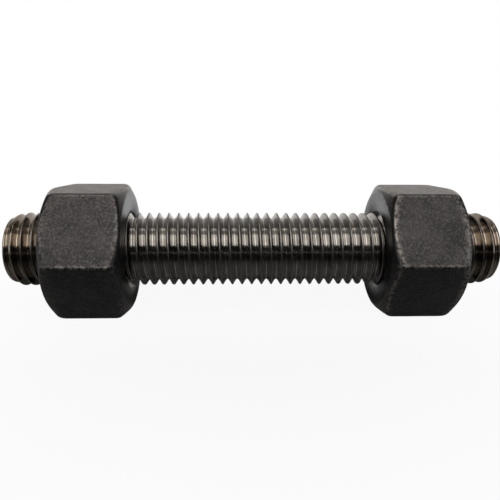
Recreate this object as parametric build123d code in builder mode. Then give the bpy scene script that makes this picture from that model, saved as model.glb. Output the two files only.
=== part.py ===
"""Full-thread flange stud with two heavy hex nuts, 3/4-10 UNC by 4-3/4 in. Lengths in mm.

The stud's axis lies along X, +Z is up and the origin is the stud's centre. Each nut has one flat down,
so the assembly rests on two flats. The stud is drawn at its major diameter, as a cosmetic thread is:
its ten-per-inch groove is cut into this envelope.
"""

import math
import os

from build123d import *

os.makedirs("parts", exist_ok=True)

INCH = 25.4

# ---- driving dimensions -----------------------------------------------------------------------
MAJOR_DIAMETER = 18.83  # middle of the 2A tolerance for 3/4 in
THREAD_LENGTH = 4.75 * INCH  # first thread to first thread
POINT_ALLOWANCE = 1.8  # each pointed end reaches this far past the thread length
POINT_LENGTH = 2.8  # the crests reach full height over this length
POINT_DROP = 1.17  # radial, from full height to the end face
END_BREAK = 0.25  # sharp edge taken off the end face
PROTRUSION = 10.83  # stud standing out past each nut
ACROSS_FLATS = 1.25 * INCH  # heavy series
NUT_THICKNESS = 19.2  # 47/64 in nominal, up to 0.758 in
BEARING_CIRCLE = 0.94  # chamfer circle of the bearing face, as a share of the width across flats
BEARING_ANGLE = 27  # of its chamfer, from the face
CROWN_CIRCLE = 0.95  # chamfer circle of the outer face, which is rounder:
CROWN_ANGLE = 20  # as far out as the flats
CORNER_ANGLE = 33  # from there to the corners
CORNER_ROUNDING = 0.7  # forged edge between two flats
COUNTERSINK_DEPTH = 0.8  # of the 45-degree mouth at each end of the bore
RUNNING_CLEARANCE = 0.05  # radial, from the stud's crests to the nut's bore

# ---- worked out from them ---------------------------------------------------------------------
STUD_RADIUS = MAJOR_DIAMETER / 2
HALF_LENGTH = THREAD_LENGTH / 2 + POINT_ALLOWANCE
POINT_RADIUS = STUD_RADIUS - POINT_DROP

BORE_RADIUS = STUD_RADIUS + RUNNING_CLEARANCE
MOUTH_RADIUS = BORE_RADIUS + COUNTERSINK_DEPTH
FLAT_RADIUS = ACROSS_FLATS / 2
CORNER_RADIUS = ACROSS_FLATS / math.sqrt(3)
BEARING_RADIUS = BEARING_CIRCLE * FLAT_RADIUS
CROWN_RADIUS = CROWN_CIRCLE * FLAT_RADIUS
BEARING_DROP = (CORNER_RADIUS - BEARING_RADIUS) * math.tan(math.radians(BEARING_ANGLE))
CROWN_DROP = (FLAT_RADIUS - CROWN_RADIUS) * math.tan(math.radians(CROWN_ANGLE))
CORNER_DROP = CROWN_DROP + (CORNER_RADIUS - FLAT_RADIUS) * math.tan(math.radians(CORNER_ANGLE))
OUTER_FACE = HALF_LENGTH - PROTRUSION
BEARING_FACE = OUTER_FACE - NUT_THICKNESS


# A turned bar with pointed ends: half its outline, revolved about the axis.
with BuildPart() as stud:
    with BuildSketch(Plane.XZ):
        with BuildLine():
            Polyline(
                (-HALF_LENGTH, 0),
                (-HALF_LENGTH, POINT_RADIUS - END_BREAK),
                (-HALF_LENGTH + END_BREAK, POINT_RADIUS),
                (-HALF_LENGTH + POINT_LENGTH, STUD_RADIUS),
                (HALF_LENGTH - POINT_LENGTH, STUD_RADIUS),
                (HALF_LENGTH - END_BREAK, POINT_RADIUS),
                (HALF_LENGTH, POINT_RADIUS - END_BREAK),
                (HALF_LENGTH, 0),
                close=True,
            )
        make_face()
    revolve(axis=Axis.X)
stud.part.label = "stud"
export_step(stud.part, "parts/stud.step")


# Each nut is a forged hexagon whose corners are turned off at both faces, then bored and countersunk.
# side is the side of the stud's centre on which the nut sits.
for name, side in (("left_nut", -1), ("right_nut", 1)):
    with BuildPart() as nut:
        with BuildSketch(Plane.YZ.offset(side * BEARING_FACE)):
            RegularPolygon(FLAT_RADIUS, side_count=6, major_radius=False)
        extrude(amount=side * NUT_THICKNESS)
        fillet(nut.edges().filter_by(Axis.X), radius=CORNER_ROUNDING)

        # the turned envelope: one cone at the bearing face, a rounder pair at the outer face
        with BuildSketch(Plane.XZ):
            with BuildLine():
                Polyline(
                    (side * BEARING_FACE, 0),
                    (side * BEARING_FACE, BEARING_RADIUS),
                    (side * (BEARING_FACE + BEARING_DROP), CORNER_RADIUS),
                    (side * (OUTER_FACE - CORNER_DROP), CORNER_RADIUS),
                    (side * (OUTER_FACE - CROWN_DROP), FLAT_RADIUS),
                    (side * OUTER_FACE, CROWN_RADIUS),
                    (side * OUTER_FACE, 0),
                    close=True,
                )
            make_face()
        revolve(axis=Axis.X, mode=Mode.INTERSECT)

        # the bore, opening to a mouth at each face
        with BuildSketch(Plane.XZ):
            with BuildLine():
                Polyline(
                    (side * BEARING_FACE, 0),
                    (side * BEARING_FACE, MOUTH_RADIUS),
                    (side * (BEARING_FACE + COUNTERSINK_DEPTH), BORE_RADIUS),
                    (side * (OUTER_FACE - COUNTERSINK_DEPTH), BORE_RADIUS),
                    (side * OUTER_FACE, MOUTH_RADIUS),
                    (side * OUTER_FACE, 0),
                    close=True,
                )
            make_face()
        revolve(axis=Axis.X, mode=Mode.SUBTRACT)
    nut.part.label = name
    export_step(nut.part, f"parts/{name}.step")
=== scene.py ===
"""A fully threaded steel stud with a heavy hex nut near each end, built around its fixed CAD frame."""

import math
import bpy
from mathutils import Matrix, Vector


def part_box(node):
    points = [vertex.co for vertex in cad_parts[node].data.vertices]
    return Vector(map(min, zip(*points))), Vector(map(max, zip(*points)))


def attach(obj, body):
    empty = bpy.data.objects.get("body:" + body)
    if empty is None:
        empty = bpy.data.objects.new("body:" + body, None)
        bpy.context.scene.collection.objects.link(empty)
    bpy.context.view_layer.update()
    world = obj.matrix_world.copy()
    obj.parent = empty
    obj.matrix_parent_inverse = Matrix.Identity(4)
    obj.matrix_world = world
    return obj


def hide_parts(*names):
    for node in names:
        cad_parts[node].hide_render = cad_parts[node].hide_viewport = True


bl_info = {
    "name": "Flange Stud With Heavy Hex Nuts",
    "version": (1, 0, 0),
    "blender": (4, 5, 0),
    "location": "View3D > Sidebar > Flange Stud",
    "description": "Builds a fully threaded stud, its two heavy hex nuts and a soft white studio",
    "category": "Add Mesh",
}

import bmesh
import bpy
import numpy as np
from mathutils import Matrix, Vector

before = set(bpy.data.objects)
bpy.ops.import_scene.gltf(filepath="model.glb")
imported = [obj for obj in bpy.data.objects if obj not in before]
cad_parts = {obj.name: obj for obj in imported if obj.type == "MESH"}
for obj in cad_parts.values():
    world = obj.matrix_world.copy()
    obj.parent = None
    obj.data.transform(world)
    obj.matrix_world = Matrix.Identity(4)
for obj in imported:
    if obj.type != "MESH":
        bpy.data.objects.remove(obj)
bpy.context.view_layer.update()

MM = 0.001
TURN = 2 * math.pi
STUD_LOW, STUD_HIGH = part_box("stud")
NUT_LOW, NUT_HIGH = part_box("right_nut")
STUD_RADIUS = (STUD_HIGH.z - STUD_LOW.z) / 2
NUT_THICKNESS = NUT_HIGH.x - NUT_LOW.x

# A thread's flanks stand 60 degrees apart: this far along the stud for each step outward.
FLANK = math.tan(math.radians(30))
# Over these lengths the thread's forms run softly into each other.
CREST_SOFTNESS = 0.035 * MM
ROOT_SOFTNESS = 0.34 * MM
POINT_SOFTNESS = 0.05 * MM
# The broken edge of the sawn end rises this much for each step inward.
END_BREAK_SLOPE = 1.2
# The mark of an end falls from 1 to 0 over this length.
TIP_REACH = 20 * MM

# Points nearer than this are one point, and an edge shorter than this is none.
MERGE_DISTANCE = 0.002 * MM
SHORTEST_EDGE = 0.0001 * MM

# Rows of a rounded corner: along its curve, with how worn each is, and guard rows on both legs.
CURVE_ROWS = ((0.0, 0.0), (0.2, 0.3), (0.4, 1.0), (0.6, 1.0), (0.8, 0.3), (1.0, 0.0))
GUARD_DISTANCES = (0.7 * MM, 0.28 * MM)
ROWS_PER_CORNER = len(CURVE_ROWS) + 2 * len(GUARD_DISTANCES)
# How much of a leg a curve may take, and how much the curve and its guard rows.
CURVE_SHARE = 0.42
GUARD_SHARE = 0.47
# Added to a leg's length, so that a leg of none can be divided by.
NO_LENGTH = 1e-12

WHITE = (1, 1, 1, 1)
BLACK = (0, 0, 0, 1)


def linear(hex_colour):
    """An sRGB hex colour as linear red, green and blue."""
    parts = [int(hex_colour[i : i + 2], 16) / 255 for i in (1, 3, 5)]
    return [c / 12.92 if c <= 0.04045 else ((c + 0.055) / 1.055) ** 2.4 for c in parts]


def length(name, description, millimetres):
    """A length that the sidebar shows in the scene's unit."""
    return bpy.props.FloatProperty(
        name=name, description=description, default=millimetres * MM, unit="LENGTH", precision=5
    )


def tilt(name, description, degrees):
    """An angle, given in degrees."""
    return bpy.props.FloatProperty(
        name=name, description=description, default=math.radians(degrees), subtype="ANGLE"
    )


def share(name, description, value):
    """A plain number that is a share of some other size."""
    return bpy.props.FloatProperty(name=name, description=description, default=value)


def colour(name, description, hex_colour):
    """A colour, given as sRGB hex."""
    return bpy.props.FloatVectorProperty(
        name=name,
        description=description,
        default=linear(hex_colour),
        size=3,
        min=0,
        max=1,
        subtype="COLOR",
    )


# ---------------------------------------------------------------- sizes and colours


class StudSettings(bpy.types.PropertyGroup):
    """Sizes and colours of the stud"""

    pitch: length("Pitch", "Distance from one crest to the next, ten to the inch", 2.54)
    crest_flat: length("Crest flat", "Width of a crest, an eighth of the pitch", 0.3175)
    thread_depth: length("Thread depth", "From crest to root", 1.558)
    point_radius: length("Point radius", "Radius of the end face", 8.245)
    point_length: length("Point length", "From the end face to the first full crest", 2.8)
    end_break: length("End break", "Sharp edge taken off the sawn end", 0.25)
    steel: colour("Steel", "Oiled black oxide over rolled steel", "#949391")
    crest: colour("Crest", "Duller oxide left on the crests", "#535150")
    ends: colour("Ends", "Brown tint of the two ends", "#7b7165")


class NutSettings(bpy.types.PropertyGroup):
    """Sizes and colours of the two nuts"""

    across_flats: length("Across flats", "Width from flat to flat", 31.75)
    corner_rounding: length("Corner rounding", "Forged edge between two flats", 0.7)
    edge_rounding: length("Edge rounding", "Worn rounding of the turned edges", 0.3)
    face_rounding: length("Face rounding", "Soft roll of the flats into the turned cones", 2.2)
    crown_circle: share("Crown circle", "Chamfer circle of the outer face, over the width", 0.95)
    crown_angle: tilt("Crown angle", "Outer chamfer from its circle to the flats", 20)
    corner_angle: tilt("Corner angle", "Outer chamfer from the flats to the corners", 33)
    bearing_circle: share("Bearing circle", "Circle of the bearing face, over the width", 0.94)
    bearing_angle: tilt("Bearing angle", "Chamfer of the bearing face", 27)
    mouth_radius: length("Mouth radius", "Countersink at each end of the bore", 10.1)
    thread_play: length("Thread play", "Radial clearance on the stud's thread", 0.08)
    thread_minor: length("Thread minor radius", "Radius at the nut's own crests", 8.25)
    thread_major: length("Thread major radius", "Radius at the bottom of the grooves", 9.54)
    waviness: length("Waviness", "Forging unevenness of the flats", 0.035)
    oxide: colour("Oxide", "Matte black oxide on forged steel", "#242426")
    scale_grey: colour("Grey scale", "Paler flecks in the forged skin", "#444344")
    worn: colour("Worn edge", "Steel showing at a rubbed edge", "#83817f")


class StageSettings(bpy.types.PropertyGroup):
    """Place of the camera and colours of the studio"""

    distance: length("Camera distance", "From the aim point to the camera", 135.5)
    lens: bpy.props.FloatProperty(
        name="Lens",
        description="Focal length on a 36 mm sensor",
        default=36.9,
        subtype="DISTANCE_CAMERA",
    )
    elevation: tilt("Elevation", "Height of the camera over the floor, as an angle", 14.65)
    yaw: tilt("Yaw", "Camera to the right of straight in front", -2.26)
    roll: tilt("Roll", "Turn of the camera about its view", 0.48)
    aim: bpy.props.FloatVectorProperty(
        name="Aim",
        description="Point the camera looks at",
        default=(-1.2 * MM, 0, -0.4 * MM),
        subtype="XYZ",
        unit="LENGTH",
    )
    paper: colour("Paper", "Floor round the part", "#939597")
    backdrop: colour("Backdrop", "White backdrop as the steel mirrors it", "#fff9f3")


# ---------------------------------------------------------------- shared tools


def node(tree, kind, x=0, y=0, settings=None, **links):
    """Adds one node. settings holds its own properties and, by the input's name or number, its
    values. links holds the outputs that feed it, by the input's name with underscores for spaces,
    or by i and the input's number."""
    made = tree.nodes.new(kind)
    made.location = (x, y)
    for key, value in (settings or {}).items():
        if key in made.inputs:
            made.inputs[key].default_value = value
        elif key.isdigit():
            made.inputs[int(key)].default_value = value
        else:
            setattr(made, key, value)
    for key, output in links.items():
        place = int(key[1:]) if key[1:].isdigit() else key.replace("_", " ")
        tree.links.new(output, made.inputs[place])
    return made


def bare_tree(owner):
    """The emptied node tree of a material or a world."""
    owner.use_nodes = True
    owner.node_tree.nodes.clear()
    return owner.node_tree


def rgba(rgb):
    return (*rgb, 1.0)


def cells(millimetres):
    """Scale of a noise pattern whose cells have this size: a metre over the size."""
    return 1 / (millimetres * MM)


def rings(millimetres):
    """Scale of a wave pattern whose rings lie this far apart: a wave turns 20 radians a unit."""
    return TURN / (20 * millimetres * MM)


def put_mesh(name, points, faces, attributes):
    """One mesh object at the origin from an array of points and an array of faces. Coincident
    points are merged, which closes seams and drops faces that have no area, and all faces are
    turned outward."""
    mesh = bpy.data.meshes.new(name)
    mesh.from_pydata(points.tolist(), [], faces.tolist())
    for key, values in attributes.items():
        layer = mesh.attributes.new(key, "FLOAT", "POINT")
        layer.data.foreach_set("value", np.ascontiguousarray(values, np.float32))
    shape = bmesh.new()
    shape.from_mesh(mesh)
    bmesh.ops.remove_doubles(shape, verts=shape.verts, dist=MERGE_DISTANCE)
    bmesh.ops.dissolve_degenerate(shape, edges=shape.edges, dist=SHORTEST_EDGE)
    bmesh.ops.recalc_face_normals(shape, faces=shape.faces)
    shape.to_mesh(mesh)
    shape.free()
    mesh.shade_smooth()
    made = bpy.data.objects.new(name, mesh)
    bpy.context.scene.collection.objects.link(made)
    return made


def grid_faces(rows, columns, wrap_rows=0):
    """Quads of a grid of rows by columns whose last column joins the first again, wrap_rows rows
    further on."""
    row, column = np.meshgrid(np.arange(rows - 1), np.arange(columns), indexing="ij")
    after = (column + 1) % columns
    shift = np.where(column + 1 == columns, wrap_rows, 0)
    quads = np.stack(
        [
            row * columns + column,
            (row + 1) * columns + column,
            (row + 1 + shift) * columns + after,
            (row + shift) * columns + after,
        ],
        axis=-1,
    )
    return quads[row + 1 + shift < rows]


def around(x, radius, angle):
    """Points at a distance along X, a radius and an angle turning from +Y to +Z."""
    x, radius, angle = np.broadcast_arrays(x, radius, angle)
    return np.stack([x, radius * np.cos(angle), radius * np.sin(angle)], axis=-1).reshape(-1, 3)


def from_crest(thread, along):
    """Distance along X to the middle of the nearest crest, for a distance along from any crest."""
    half = thread.pitch / 2
    return np.abs((along + half) % thread.pitch - half)


def stud_depth(thread, along):
    """Depth of the stud's thread below its crests. Past the crest's flat it is the distance along X
    over the tangent of 30 degrees. A soft maximum breaks the crest's edge, and a soft minimum
    hollows the root."""
    flank = (from_crest(thread, along) - thread.crest_flat / 2) / FLANK
    crest = CREST_SOFTNESS * np.logaddexp(0, flank / CREST_SOFTNESS)
    bottom = thread.thread_depth
    return bottom - ROOT_SOFTNESS * np.logaddexp(0, (bottom - crest) / ROOT_SOFTNESS)


def profile_steps(thread):
    """Distances along one pitch at which the thread is drawn, mirrored about the root: close
    together at the crest's edges and in the root."""
    side = np.array([0.0, 0.09, 0.14, 0.18, 0.23, 0.33, 0.5, 0.7, 0.85, 0.97, 1.07, 1.17]) * MM
    return np.concatenate([side, [thread.pitch / 2], (thread.pitch - side[:0:-1])])


def thread_grid(thread, low, high, angle):
    """Where a threaded surface has its points: x is the place on the profile plus a pitch for each
    full turn of the angle, and past an end it stays at the end. Returns x by row and column, the
    lead of each column and the rows in a turn."""
    steps = profile_steps(thread)
    turns = int(math.ceil((high - low) / thread.pitch)) + 3
    start = math.floor(low / thread.pitch - 1) * thread.pitch
    along = (np.arange(turns)[:, None] * thread.pitch + steps[None, :]).ravel() + start
    lead = (thread.pitch * angle / TURN)[None, :]
    return np.clip(along[:, None] + lead, low, high), lead, len(steps)


# ---------------------------------------------------------------- pieces


def stud_surface(settings):
    """The stud: the radius is the smaller of the thread's and the pointed end's at its x, with a
    soft change from one to the other, and each end is closed by rings that shrink to its centre."""
    low, high = STUD_LOW.x, STUD_HIGH.x
    columns = 80
    angle = np.arange(columns) * TURN / columns
    x, lead, turn_rows = thread_grid(settings, low, high, angle)
    thread = STUD_RADIUS - stud_depth(settings, x - lead)
    inward = np.minimum(x - low, high - x)
    slope = (STUD_RADIUS - settings.point_radius) / settings.point_length
    point = settings.point_radius + slope * inward
    broken = settings.point_radius - settings.end_break + inward * END_BREAK_SLOPE
    point = np.minimum(point, broken)
    soft = POINT_SOFTNESS
    r = -soft * np.logaddexp(-thread / soft, -point / soft)
    r = np.minimum(r, STUD_RADIUS)
    points = [around(x, r, angle[None, :])]
    faces = [grid_faces(*x.shape, turn_rows)]
    height = np.clip(1 - (STUD_RADIUS - r) / settings.thread_depth, 0, 1).ravel()
    tip = (1 - np.clip(inward / TIP_REACH, 0, 1)).ravel()
    # the two end faces
    shrink = np.array([1, 0.97, 0.7, 0.35, 0.0])[:, None]
    for end in (0, -1):
        rim = shrink * r[end]
        faces.append(grid_faces(*rim.shape) + sum(map(len, points)))
        points.append(around(x[end, 0], rim, angle[None, :]))
    capped = np.ones(2 * shrink.size * columns)
    marks = {
        "height": np.concatenate([height, 0 * capped]),
        "tip": np.concatenate([tip, capped]),
        "end_face": np.concatenate([0 * tip, capped]),
    }
    return np.concatenate(points), np.concatenate(faces), marks


def hexagon_outline(settings):
    """Radius and angle of the points round a hexagon with flats up and down: across each flat, then
    round an arc of 60 degrees to the next. Also how worn each point is."""
    flat = settings.across_flats / 2
    rounding = settings.corner_rounding
    reach = (flat - rounding) * math.tan(math.radians(30))
    across = np.array([-1, -0.95, -0.88, -0.7, -0.5, -0.25, 0, 0.25, 0.5, 0.7, 0.88, 0.95, 1])
    arc = np.radians(np.linspace(0, 60, 6)[1:-1])
    y = np.concatenate([np.full(len(across), flat), (flat - rounding) + rounding * np.cos(arc)])
    z = np.concatenate([across * reach, reach + rounding * np.sin(arc)])
    worn = np.concatenate([np.where(np.abs(across) > 0.99, 0.6, 0.0), [0.9, 1.0, 1.0, 0.9]])
    # how much each edge is rubbed: top back, top front, front, bottom front, bottom back, back
    rubbed = np.array([0.3, 0.15, 1.0, 0.45, 0.7, 0.5])
    y, z = np.tile(y, 6), np.tile(z, 6)
    side = np.repeat(np.arange(6), len(worn)) * math.pi / 3 + math.pi / 6
    angle = (np.arctan2(z, y) + side) % TURN
    order = np.argsort(angle)
    marks = (worn[None, :] * rubbed[:, None]).ravel()
    return np.hypot(y, z)[order], angle[order], marks[order]


def rounded_path(corners, rounding):
    """A path through corner points, each with its own row of columns. At each corner a short curve
    runs from one leg to the other: the corner plus each leg times its share squared. Guard rows
    before and after it keep the shading of the flat parts flat. corners is corner by column by
    (x, r). Also how worn each row is."""
    rows, marks = [corners[0]], [0.0]
    for i in range(1, len(corners) - 1):
        here = corners[i]
        back, ahead = corners[i - 1] - here, corners[i + 1] - here
        # a leg may have no length, as the corner cone at the middle of a flat
        back_length = np.linalg.norm(back, axis=-1, keepdims=True) + NO_LENGTH
        ahead_length = np.linalg.norm(ahead, axis=-1, keepdims=True) + NO_LENGTH
        back, ahead = back / back_length, ahead / ahead_length
        behind = np.minimum(back_length * CURVE_SHARE, rounding[i])
        before = np.minimum(ahead_length * CURVE_SHARE, rounding[i])
        for guard in GUARD_DISTANCES:
            rows.append(here + back * np.minimum(behind + guard, back_length * GUARD_SHARE))
            marks.append(0.0)
        for t, mark in CURVE_ROWS:
            rows.append(here + back * behind * (1 - t) ** 2 + ahead * before * t**2)
            marks.append(mark)
        for guard in reversed(GUARD_DISTANCES):
            rows.append(here + ahead * np.minimum(before + guard, ahead_length * GUARD_SHARE))
            marks.append(0.0)
    rows.append(corners[-1])
    marks.append(0.0)
    return np.array(rows), np.array(marks)


def forging_wave(x, angle, side):
    """Unevenness between -1 and 1: half of it waves of about 20 mm along the nut that also turn
    seven times round it, a quarter finer waves wound round the nut, a quarter ripples along it."""
    return (
        np.sin(x * 310 + np.cos(angle * 3) * 2.1) * np.sin(angle * 7 + side) * 0.5
        + np.sin(x * 720 + angle * 11) * 0.25
        + np.cos(angle * 19 + side * 2) * 0.25
    )


def nut_outside(settings, side):
    """The outside of a nut: at each angle a path in x and radius runs over the outer face, the two
    crown cones, the flat, the bearing cone and the bearing face. A cone's x falls by its angle's
    tangent times the growth in radius, up to the hexagon's own radius at that angle."""
    flat = settings.across_flats / 2
    outline, angle, corner_mark = hexagon_outline(settings)
    crown = settings.crown_circle * flat
    bearing = settings.bearing_circle * flat
    drop = (flat - crown) * math.tan(settings.crown_angle)
    corner_drop = drop + (outline - flat) * math.tan(settings.corner_angle)
    bearing_drop = (outline - bearing) * math.tan(settings.bearing_angle)
    edge = settings.edge_rounding
    soft = settings.face_rounding
    # x, radius and rounding of each corner of the path
    corners = (
        (NUT_THICKNESS, settings.mouth_radius, 0),
        (NUT_THICKNESS, crown, edge * 1.5),
        (NUT_THICKNESS - drop, flat, edge * 3),
        (NUT_THICKNESS - corner_drop, outline, soft),
        (bearing_drop, outline, soft * 0.65),
        (0, bearing, edge),
        (0, settings.mouth_radius, 0),
    )
    places = [np.stack(np.broadcast_arrays(x, r, outline)[:2], axis=-1) for x, r, _ in corners]
    path, marks = rounded_path(places, [rounding for _, _, rounding in corners])
    # a few more rows down the flat, which follows the third rounded corner, for its unevenness
    extra = 7
    split = 1 + 3 * ROWS_PER_CORNER
    down = np.linspace(0, 1, extra + 2)[1:-1][:, None, None]
    between = path[split - 1] * (1 - down) + path[split] * down
    path = np.concatenate([path[:split], between, path[split:]])
    marks = np.concatenate([marks[:split], np.zeros(extra), marks[split:]])
    # the turned surfaces are the two end faces and their cones, up to the middle of the curves
    # that lead to the flat
    turned = np.ones(len(path))
    half = ROWS_PER_CORNER // 2
    turned[split - half : split + extra + half] = 0
    base = NUT_LOW.x if side > 0 else -NUT_LOW.x
    x = base + side * path[..., 0]
    r = path[..., 1]
    # the right nut's turned edges are the more rubbed, and a corner is rubbed where it stands out
    rim = 1.0 if side > 0 else 0.35
    wear = np.maximum(marks[:, None] * rim, corner_mark[None, :] * (r > flat * 1.02))
    # the unevenness only cuts in, and it fades out on the cones, just inside the flats' radius
    on_side = np.clip((r - flat * 0.985) / (flat * 0.01), 0, 1)
    wave = forging_wave(x, angle[None, :], side)
    r = r - settings.waviness * (0.5 + 0.5 * wave) * on_side
    points = around(x, r, angle[None, :])
    turned = np.repeat(turned, len(angle))
    return points, grid_faces(*x.shape), angle, wear.ravel(), turned


def nut_surface(settings, thread, side):
    """A nut: its outside, and a bore whose radius follows the stud's thread with a little play, is
    cut off at the nut's own crests and grooves, and grows by a cone of 45 degrees to the mouth at
    each end."""
    outside, outside_faces, angle, wear, turned = nut_outside(settings, side)
    base = NUT_LOW.x if side > 0 else -NUT_LOW.x
    low, high = sorted((base, base + side * NUT_THICKNESS))
    x, lead, turn_rows = thread_grid(thread, low, high, angle)
    flank = (from_crest(thread, x - lead) - thread.crest_flat / 2) / FLANK
    r = np.clip(
        STUD_RADIUS + settings.thread_play - flank, settings.thread_minor, settings.thread_major
    )
    mouth = settings.mouth_radius - np.minimum(x - low, high - x)
    bore = around(x, np.maximum(r, mouth), angle[None, :])
    bore_faces = grid_faces(*x.shape, turn_rows) + len(outside)
    marks = {
        "wear": np.concatenate([wear, np.zeros(len(bore))]),
        "turned": np.concatenate([turned, np.ones(len(bore))]),
    }
    return np.concatenate([outside, bore]), np.concatenate([outside_faces, bore_faces]), marks


# ---------------------------------------------------------------- finishes


def stud_finish(settings):
    """Rolled alloy steel thread under an oiled black oxide: a dark, glossy, slightly warm metal,
    duller on its crests and browner toward the two ends."""
    material = bpy.data.materials.new("oiled_black_oxide_rolled_thread")
    tree = bare_tree(material)
    place = node(tree, "ShaderNodeTexCoord", -1200, 0).outputs["Object"]
    height = node(tree, "ShaderNodeAttribute", -1200, 500, {"attribute_name": "height"})
    tip = node(tree, "ShaderNodeAttribute", -1200, 700, {"attribute_name": "tip"})
    end_face = node(tree, "ShaderNodeAttribute", -1200, -700, {"attribute_name": "end_face"})

    # the oil film and the oxide lie in patches about 3 mm across
    patch = node(
        tree, "ShaderNodeTexNoise", -1000, 200,
        {"Scale": cells(3.03), "Detail": 3.0, "Roughness": 0.55}, Vector=place,
    ).outputs["Fac"]
    crest = node(
        tree, "ShaderNodeMapRange", -800, 500,
        {"From Min": 0.93, "From Max": 1.0, "To Max": 0.8}, Value=height.outputs["Fac"],
    ).outputs["Result"]
    # full up to 6 mm from each end, and gone at 15 mm
    brown = node(
        tree, "ShaderNodeMapRange", -800, 700,
        {"From Min": 0.25, "From Max": 0.7, "To Max": 0.8}, Value=tip.outputs["Fac"],
    ).outputs["Result"]
    body = node(
        tree, "ShaderNodeMix", -600, 600,
        {"data_type": "RGBA", "6": rgba(settings.steel), "7": rgba(settings.ends)}, i0=brown,
    ).outputs[2]
    mottled = node(
        tree, "ShaderNodeMapRange", -800, 200,
        {"From Min": 0.35, "From Max": 0.65, "To Min": 0.82, "To Max": 1.12}, Value=patch,
    ).outputs["Result"]
    shaded = node(
        tree, "ShaderNodeVectorMath", -400, 500, {"operation": "SCALE"},
        Vector=body, Scale=mottled,
    ).outputs[0]
    skin = node(
        tree, "ShaderNodeMix", -200, 500, {"data_type": "RGBA", "7": rgba(settings.crest)},
        i0=crest, i6=shaded,
    ).outputs[2]

    # rolling burnishes the flanks, and the crests stay rougher
    rolled = node(
        tree, "ShaderNodeMapRange", -600, 100,
        {"From Min": 0.3, "From Max": 0.7, "To Min": 0.1, "To Max": 0.18}, Value=patch,
    ).outputs["Result"]
    rough = node(
        tree, "ShaderNodeMix", -400, 100, {"data_type": "FLOAT", "3": 0.38},
        i0=crest, i2=rolled,
    ).outputs[0]

    # rings left by facing the two ends, 0.45 mm apart, coarser than the real ones so that they show
    facing = node(
        tree, "ShaderNodeTexWave", -1000, -500,
        {
            "wave_type": "RINGS",
            "rings_direction": "X",
            "Scale": rings(0.449),
            "Distortion": 2.5,
            "Detail": 3.0,
            "Detail Scale": 0.5,
        },
        Vector=place,
    ).outputs["Fac"]
    faced = node(
        tree, "ShaderNodeMath", -800, -700, {"operation": "MULTIPLY", "1": 0.6},
        i0=end_face.outputs["Fac"],
    ).outputs[0]
    relief = node(
        tree, "ShaderNodeBump", -600, -400, {"Distance": 0.04 * MM}, Height=facing, Strength=faced
    ).outputs["Normal"]
    # rolling marks, 0.4 mm, coarser than the real ones so that they show
    grain = node(
        tree, "ShaderNodeTexNoise", -1000, -200, {"Scale": cells(0.385), "Detail": 2.0},
        Vector=place,
    ).outputs["Fac"]
    bump = node(
        tree, "ShaderNodeBump", -400, -200, {"Strength": 0.18, "Distance": 0.05 * MM},
        Height=grain, Normal=relief,
    ).outputs["Normal"]

    shader = node(
        tree, "ShaderNodeBsdfPrincipled", 0, 300, {"Metallic": 1.0},
        Base_Color=skin, Roughness=rough, Normal=bump,
    )
    node(tree, "ShaderNodeOutputMaterial", 300, 300, Surface=shader.outputs[0])
    return material


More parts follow.
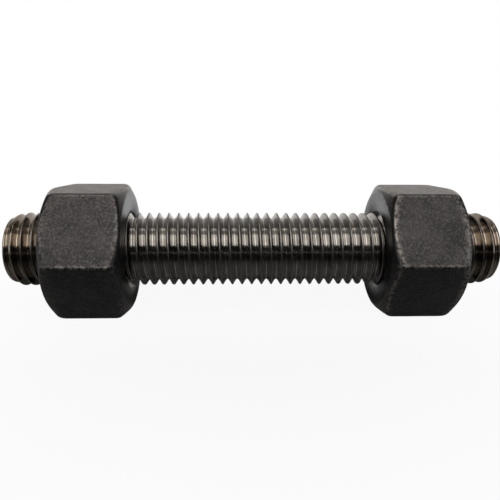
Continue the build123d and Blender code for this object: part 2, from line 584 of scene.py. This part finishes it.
def nut_finish(settings):
    """Forged steel under black oxide: a matte, nearly black skin with a fine pitted grain, flecked
    with grey scale and rubbed to paler steel along its edges, and smoother where it was turned."""
    material = bpy.data.materials.new("black_oxide_forged_steel")
    tree = bare_tree(material)
    place = node(tree, "ShaderNodeTexCoord", -1400, 0).outputs["Object"]
    wear = node(tree, "ShaderNodeAttribute", -1200, 900, {"attribute_name": "wear"})
    turned = node(tree, "ShaderNodeAttribute", -1200, -500, {"attribute_name": "turned"})
    turned = turned.outputs["Fac"]

    # grit of the forged skin, 0.56 mm, about twice the real one's so that it shows
    grit = node(
        tree, "ShaderNodeTexNoise", -1200, 0,
        {"Scale": cells(0.556), "Detail": 5.0, "Roughness": 0.7}, Vector=place,
    ).outputs["Fac"]
    fleck = node(
        tree, "ShaderNodeMapRange", -900, 0, {"From Min": 0.48, "From Max": 0.66}, Value=grit
    ).outputs["Result"]
    # cloudy patches of scale, 4 mm
    cloud = node(
        tree, "ShaderNodeTexNoise", -1200, 300,
        {"Scale": cells(4), "Detail": 5.0, "Roughness": 0.6}, Vector=place,
    ).outputs["Fac"]
    patch = node(
        tree, "ShaderNodeMapRange", -900, 300,
        {"From Min": 0.35, "From Max": 0.7, "To Max": 0.55}, Value=cloud,
    ).outputs["Result"]
    scale = node(
        tree, "ShaderNodeMath", -700, 150, {"operation": "ADD", "use_clamp": True},
        i0=fleck, i1=patch,
    ).outputs[0]
    scale = node(
        tree, "ShaderNodeMath", -600, 150, {"operation": "MULTIPLY", "1": 0.85}, i0=scale
    ).outputs[0]
    skin = node(
        tree, "ShaderNodeMix", -500, 200,
        {"data_type": "RGBA", "6": rgba(settings.oxide), "7": rgba(settings.scale_grey)},
        i0=scale,
    ).outputs[2]

    # the rubbed edges have a ragged limit, in spots of 1.1 mm
    ragged = node(
        tree, "ShaderNodeTexNoise", -1200, 600,
        {"Scale": cells(1.11), "Detail": 4.0, "Roughness": 0.7}, Vector=place,
    ).outputs["Fac"]
    broken = node(
        tree, "ShaderNodeMapRange", -900, 600, {"From Min": 0.42, "From Max": 0.6}, Value=ragged
    ).outputs["Result"]
    rubbed = node(
        tree, "ShaderNodeMath", -700, 750, {"operation": "MULTIPLY"},
        i0=broken, i1=wear.outputs["Fac"],
    ).outputs[0]
    rubbed = node(
        tree, "ShaderNodeMath", -550, 750, {"operation": "MULTIPLY", "1": 0.6}, i0=rubbed
    ).outputs[0]
    worn_skin = node(
        tree, "ShaderNodeMix", -250, 400, {"data_type": "RGBA", "7": rgba(settings.worn)},
        i0=rubbed, i6=skin,
    ).outputs[2]

    # the forged flats are rougher than the turned faces
    forged = node(
        tree, "ShaderNodeMapRange", -700, -700,
        {"From Min": 0.3, "From Max": 0.7, "To Min": 0.31, "To Max": 0.42}, Value=cloud,
    ).outputs["Result"]
    rough = node(
        tree, "ShaderNodeMix", -500, -500, {"data_type": "FLOAT", "3": 0.3},
        i0=turned, i2=forged,
    ).outputs[0]

    # rings left by the lathe on the turned faces, 0.3 mm apart
    lathe = node(
        tree, "ShaderNodeTexWave", -900, -300,
        {
            "wave_type": "RINGS",
            "rings_direction": "X",
            "Scale": rings(0.299),
            "Distortion": 1.5,
            "Detail": 2.0,
            "Detail Scale": 0.4,
        },
        Vector=place,
    ).outputs["Fac"]
    ridged = node(
        tree, "ShaderNodeMath", -700, -300, {"operation": "MULTIPLY", "1": 0.35}, i0=turned
    ).outputs[0]
    relief = node(
        tree, "ShaderNodeBump", -500, -200, {"Distance": 0.03 * MM}, Height=lathe, Strength=ridged
    ).outputs["Normal"]
    # the grit stands out on the forged flats and only a little on the turned faces
    pitted = node(
        tree, "ShaderNodeMapRange", -500, -350, {"To Min": 1.0, "To Max": 0.2}, Value=turned
    ).outputs["Result"]
    bump = node(
        tree, "ShaderNodeBump", -300, -200, {"Distance": 0.15 * MM},
        Height=grit, Strength=pitted, Normal=relief,
    ).outputs["Normal"]

    shader = node(
        tree, "ShaderNodeBsdfPrincipled", 0, 300, {"Metallic": 0.9},
        Base_Color=worn_skin, Roughness=rough, Normal=bump,
    )
    node(tree, "ShaderNodeOutputMaterial", 300, 300, Surface=shader.outputs[0])
    return material


# ---------------------------------------------------------------- studio

# name, place, width and height in metres, brightness of the lamp's face where 1 is white, tint
LAMPS = (
    ("key_lamp", (0, -0.270, 0.295), 0.50, 0.315, 3.8, "#fff7ee"),
    ("fill_lamp", (0, -0.040, 0.398), 0.50, 0.19, 0.8, "#fff7ee"),
    ("top_lamp", (0, 0.006, 0.41), 0.24, 0.05, 2.7, "#fff7ee"),
    ("left_lamp", (-0.40, -0.12, 0.13), 0.25, 0.25, 1.0, "#ffffff"),
    ("right_lamp", (0.40, -0.12, 0.13), 0.25, 0.25, 1.0, "#ffffff"),
)
# From the origin to each edge of the floor, and from the nuts down to it.
FLOOR_REACH = 6.0
FLOOR_GAP = 0.02 * MM


def soft_lamp(name, place, wide, high, brightness, tint):
    """A rectangular lamp that faces the part. Its power is its brightness times pi and its area."""
    data = bpy.data.lights.new(name, "AREA")
    data.shape = "RECTANGLE"
    data.size, data.size_y = wide, high
    data.energy = brightness * math.pi * wide * high
    data.color = linear(tint)
    lamp = bpy.data.objects.new(name, data)
    lamp.location = place
    lamp.rotation_euler = (-Vector(place)).to_track_quat("-Z", "Y").to_euler()
    bpy.context.scene.collection.objects.link(lamp)


def white_paper(settings):
    """The paper under the part: lit grey paper for the light, and plain white for the camera and
    for what the steel mirrors far off."""
    paper = bpy.data.materials.new("white_paper")
    tree = bare_tree(paper)
    path = node(tree, "ShaderNodeLightPath", -1100, 0).outputs
    place = node(tree, "ShaderNodeTexCoord", -1300, 500).outputs["Object"]

    # the paper is dimmed in front of the part, so that polished metal keeps a dark lower half
    front = node(tree, "ShaderNodeSeparateXYZ", -500, -600, Vector=place).outputs["Y"]
    dimmed = node(
        tree, "ShaderNodeMapRange", -300, -600,
        {"From Min": -35 * MM, "From Max": -12 * MM, "To Min": 0.1, "To Max": 1.0}, Value=front,
    ).outputs["Result"]
    shade = node(
        tree, "ShaderNodeMix", -150, -600,
        {"data_type": "RGBA", "6": BLACK, "7": rgba(settings.paper)}, i0=dimmed,
    ).outputs[2]
    dull = node(tree, "ShaderNodeBsdfDiffuse", 0, 0, Color=shade)
    lit = node(tree, "ShaderNodeEmission", 0, -200, {"Color": WHITE, "Strength": 1.0})

    # near the part the paper keeps a little of its shadow, and farther out it is plain white
    away = node(
        tree, "ShaderNodeVectorMath", -1100, 500, {"operation": "LENGTH"}, Vector=place
    ).outputs["Value"]
    plain = node(
        tree, "ShaderNodeMapRange", -900, 500,
        {"From Min": 40 * MM, "From Max": 120 * MM, "To Min": 0.93, "To Max": 1.0}, Value=away,
    ).outputs["Result"]
    # mirrored in the part, the paper shows as it is lit up to 340 mm from a point on it that is
    # 300 mm in front of the part, and as plain white from 400 mm on
    ahead = node(
        tree, "ShaderNodeMapping", -1100, 800,
        {"Location": (0, 300 * MM, 0), "Scale": (1, 1, 0)}, Vector=place,
    ).outputs[0]
    ahead = node(
        tree, "ShaderNodeVectorMath", -900, 800, {"operation": "LENGTH"}, Vector=ahead
    ).outputs["Value"]
    mirrored = node(
        tree, "ShaderNodeMapRange", -700, 800,
        {"From Min": 340 * MM, "From Max": 400 * MM}, Value=ahead,
    ).outputs["Result"]

    glancing = node(
        tree, "ShaderNodeMath", -900, -200, {"operation": "MAXIMUM"},
        i0=path["Is Glossy Ray"], i1=path["Is Transmission Ray"],
    ).outputs[0]
    direct = node(
        tree, "ShaderNodeMath", -500, 300, {"operation": "MULTIPLY"},
        i0=path["Is Camera Ray"], i1=plain,
    ).outputs[0]
    indirect = node(
        tree, "ShaderNodeMath", -500, 100, {"operation": "MULTIPLY"}, i0=glancing, i1=mirrored
    ).outputs[0]
    bright = node(
        tree, "ShaderNodeMath", -300, 200, {"operation": "MAXIMUM"}, i0=direct, i1=indirect
    ).outputs[0]
    mixed = node(
        tree, "ShaderNodeMixShader", 200, 0, i0=bright, i1=dull.outputs[0], i2=lit.outputs[0]
    )
    node(tree, "ShaderNodeOutputMaterial", 400, 0, Surface=mixed.outputs[0])
    return paper


def studio_sky(settings):
    """The surroundings: a weak even light, plain white for the camera, and for what the steel
    mirrors a white backdrop that stands behind the part and a dim room in front."""
    world = bpy.data.worlds.new("studio")
    tree = bare_tree(world)
    soft = node(tree, "ShaderNodeBackground", 0, 0, {"Color": WHITE, "Strength": 0.1})
    path = node(tree, "ShaderNodeLightPath", -600, 200).outputs
    glancing = node(
        tree, "ShaderNodeMath", -400, 100, {"operation": "MAXIMUM"},
        i0=path["Is Glossy Ray"], i1=path["Is Transmission Ray"],
    ).outputs[0]
    seen = node(
        tree, "ShaderNodeMath", -200, 200, {"operation": "MAXIMUM"},
        i0=path["Is Camera Ray"], i1=glancing,
    ).outputs[0]

    # the backdrop rises to full white straight behind the part and ends toward the two sides
    toward = node(tree, "ShaderNodeTexCoord", -1200, -300).outputs["Generated"]
    axes = node(tree, "ShaderNodeSeparateXYZ", -1000, -300, Vector=toward).outputs
    behind = node(
        tree, "ShaderNodeMapRange", -800, -200, {"From Min": -0.1, "From Max": 0.8},
        Value=axes["Y"],
    ).outputs["Result"]
    sideways = node(
        tree, "ShaderNodeMath", -800, -400, {"operation": "ABSOLUTE"}, i0=axes["X"]
    ).outputs[0]
    within = node(
        tree, "ShaderNodeMapRange", -700, -400, {"From Min": 0.85, "From Max": 0.5},
        Value=sideways,
    ).outputs["Result"]
    sheet = node(
        tree, "ShaderNodeMath", -600, -300, {"operation": "MULTIPLY"}, i0=behind, i1=within
    ).outputs[0]
    sheet = node(
        tree, "ShaderNodeMapRange", -500, -300, {"To Min": 0.035, "To Max": 0.96}, Value=sheet
    ).outputs["Result"]
    plain = node(
        tree, "ShaderNodeMath", -300, -300, {"operation": "MAXIMUM"},
        i0=path["Is Camera Ray"], i1=sheet,
    ).outputs[0]
    tone = node(
        tree, "ShaderNodeMix", -200, -500,
        {"data_type": "RGBA", "6": rgba(settings.backdrop), "7": WHITE},
        i0=path["Is Camera Ray"],
    ).outputs[2]
    white = node(tree, "ShaderNodeBackground", 0, -200, Color=tone, Strength=plain)
    mixed = node(
        tree, "ShaderNodeMixShader", 200, 0, i0=seen, i1=soft.outputs[0], i2=white.outputs[0]
    )
    node(tree, "ShaderNodeOutputWorld", 400, 0, Surface=mixed.outputs[0])
    return world


def stand_camera(settings):
    """The camera, which looks at the aim point from its distance. Its three axes are the direction
    back from the aim point, the level direction to its right and the one square to both, and the
    last two are turned about the first by the roll."""
    e, yaw, roll = settings.elevation, settings.yaw, settings.roll
    back = Vector((math.sin(yaw) * math.cos(e), -math.cos(yaw) * math.cos(e), math.sin(e)))
    right = Vector((math.cos(yaw), math.sin(yaw), 0))
    up = back.cross(right)
    right, up = (
        right * math.cos(roll) + up * math.sin(roll),
        up * math.cos(roll) - right * math.sin(roll),
    )
    data = bpy.data.cameras.new("camera")
    data.lens = settings.lens
    data.sensor_width = 36
    data.clip_start = 0.005
    data.clip_end = 50
    camera = bpy.data.objects.new("camera", data)
    turn = Matrix((right, up, back)).transposed().to_4x4()
    place = Vector(settings.aim) + back * settings.distance
    camera.matrix_world = Matrix.Translation(place) @ turn
    return camera


# ---------------------------------------------------------------- operators


class STUD_OT_build(bpy.types.Operator):
    """Builds the stud with its rolled right-hand thread"""

    bl_idname = "stud.build_stud"
    bl_label = "Build stud"

    def execute(self, context):
        settings = context.scene.stud_settings
        piece = put_mesh("threaded_stud", *stud_surface(settings))
        piece.data.materials.append(stud_finish(settings))
        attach(piece, "stud")
        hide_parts("stud")
        return {"FINISHED"}


class STUD_OT_nuts(bpy.types.Operator):
    """Builds the two heavy hex nuts with their threaded bores"""

    bl_idname = "stud.build_nuts"
    bl_label = "Build nuts"

    def execute(self, context):
        settings = context.scene.nut_settings
        thread = context.scene.stud_settings
        finish = nut_finish(settings)
        for name, side in (("left_nut", -1), ("right_nut", 1)):
            piece = put_mesh(name + "_forged", *nut_surface(settings, thread, side))
            piece.data.materials.append(finish)
            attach(piece, name)
            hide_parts(name)
        return {"FINISHED"}


class STUD_OT_stage(bpy.types.Operator):
    """Builds the floor, the soft lamps, the sky and the camera"""

    bl_idname = "stud.build_stage"
    bl_label = "Build stage"

    def execute(self, context):
        scene = context.scene
        settings = scene.stage_settings
        scene.view_settings.view_transform = "Standard"

        level = -scene.nut_settings.across_flats / 2 - FLOOR_GAP
        reach = FLOOR_REACH
        corners = [(x * reach, y * reach, level) for x, y in ((-1, -1), (1, -1), (1, 1), (-1, 1))]
        mesh = bpy.data.meshes.new("floor")
        mesh.from_pydata(corners, [], [(0, 1, 2, 3)])
        mesh.materials.append(white_paper(settings))
        floor = bpy.data.objects.new("floor", mesh)
        scene.collection.objects.link(floor)

        scene.world = studio_sky(settings)
        for lamp in LAMPS:
            soft_lamp(*lamp)
        scene.camera = stand_camera(settings)
        scene.collection.objects.link(scene.camera)
        return {"FINISHED"}


class STUD_PT_panel(bpy.types.Panel):
    """Lists the settings and the button of each part of the build"""

    bl_idname = "STUD_PT_panel"
    bl_label = "Flange Stud"
    bl_space_type = "VIEW_3D"
    bl_region_type = "UI"
    bl_category = "Flange Stud"

    def draw(self, context):
        scene = context.scene
        for settings, operator in (
            (scene.stud_settings, STUD_OT_build),
            (scene.nut_settings, STUD_OT_nuts),
            (scene.stage_settings, STUD_OT_stage),
        ):
            box = self.layout.box()
            box.operator(operator.bl_idname)
            for key in settings.__annotations__:
                box.prop(settings, key)


CLASSES = (
    StudSettings,
    NutSettings,
    StageSettings,
    STUD_OT_build,
    STUD_OT_nuts,
    STUD_OT_stage,
    STUD_PT_panel,
)


def register():
    for item in CLASSES:
        bpy.utils.register_class(item)
    bpy.types.Scene.stud_settings = bpy.props.PointerProperty(type=StudSettings)
    bpy.types.Scene.nut_settings = bpy.props.PointerProperty(type=NutSettings)
    bpy.types.Scene.stage_settings = bpy.props.PointerProperty(type=StageSettings)


def unregister():
    del bpy.types.Scene.stage_settings
    del bpy.types.Scene.nut_settings
    del bpy.types.Scene.stud_settings
    for item in reversed(CLASSES):
        bpy.utils.unregister_class(item)


def main():
    register()
    bpy.ops.stud.build_stud()
    bpy.ops.stud.build_nuts()
    bpy.ops.stud.build_stage()


if __name__ == "__main__":
    main()
